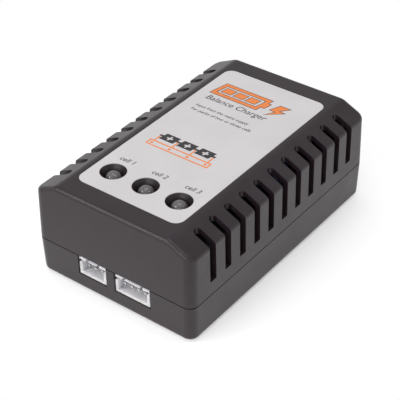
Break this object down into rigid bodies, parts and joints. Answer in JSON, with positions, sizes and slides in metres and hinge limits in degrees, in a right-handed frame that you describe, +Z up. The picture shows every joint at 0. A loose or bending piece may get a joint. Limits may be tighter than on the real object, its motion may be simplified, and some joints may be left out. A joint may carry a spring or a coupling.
{
  "type": "balance battery charger",
  "caption": "Compact mains balance charger: slotted two-part casing, printed top label, indicator lamps, balance sockets in front and a mains inlet at the rear.",
  "frame": {"origin": "centre of the rectangular footprint, on the surface the charger rests on", "axes": "+Z up, +Y from the balance sockets (front) towards the mains inlet (rear), +X to the right when facing the balance sockets"},
  "size_m": [0.0574, 0.09, 0.033],
  "materials": {
    "casing_plastic": "black, fine spark texture",
    "label_film": "light silver grey, satin",
    "screw_steel": "bright zinc plated",
    "lamp_resin": "clear, slightly smoky",
    "spacer_plastic": "black",
    "socket_plastic": "white, slightly translucent",
    "contact_metal": "tin plated",
    "inlet_plastic": "black",
    "pin_metal": "nickel plated",
    "lead_metal": "tinned",
    "solder_metal": "bright solder",
    "board_laminate": "green lacquer",
    "fuse_glass": "clear",
    "fuse_metal": "nickel plated",
    "film_capacitor_plastic": "yellow moulded box",
    "thermistor_coating": "dark green dipped",
    "disc_coating": "blue dipped",
    "ferrite": "dark grey, sintered",
    "copper_wire": "enamelled copper",
    "can_aluminium": "drawn",
    "capacitor_sleeve": "dark shrink film",
    "former_plastic": "black phenolic",
    "winding_tape": "yellow polyester tape",
    "package_epoxy": "black moulding compound",
    "resistor_lacquer": "blue lacquer"
  },
  "bodies": {
    "root": {"upper_shell": "casing_plastic", "lower_shell": "casing_plastic", "top_label": "label_film", "case_screws": "screw_steel", "lamp_cell_1": "lamp_resin", "lamp_cell_2": "lamp_resin", "lamp_cell_3": "lamp_resin", "lamp_spacers": "spacer_plastic", "lamp_leads": "lead_metal", "balance_socket_2s_housing": "socket_plastic", "balance_socket_3s_housing": "socket_plastic", "balance_socket_2s_contacts": "contact_metal", "balance_socket_3s_contacts": "contact_metal", "mains_inlet_housing": "inlet_plastic", "mains_inlet_pins": "pin_metal", "circuit_board": "board_laminate", "solder_joints": "solder_metal", "component_leads": "lead_metal", "package_legs": "lead_metal", "fuse_glass": "fuse_glass", "fuse_caps": "fuse_metal", "fuse_wire": "lead_metal", "mains_filter_capacitor": "film_capacitor_plastic", "inrush_thermistor": "thermistor_coating", "safety_capacitor": "disc_coating", "filter_choke_core": "ferrite", "filter_choke_winding": "copper_wire", "bridge_rectifier": "package_epoxy", "bulk_capacitor_can": "can_aluminium", "bulk_capacitor_sleeve": "capacitor_sleeve", "supply_controller": "package_epoxy", "feedback_coupler": "package_epoxy", "cell_control_chip": "package_epoxy", "transformer_core": "ferrite", "transformer_coil_former": "former_plastic", "transformer_winding": "winding_tape", "transformer_core_tape": "winding_tape", "transformer_pins": "lead_metal", "output_diodes": "package_epoxy", "resistors": "resistor_lacquer", "cell_transistors": "package_epoxy", "cell_capacitor_cans": "can_aluminium", "cell_capacitor_sleeves": "capacitor_sleeve"}
  },
  "joints": []
}
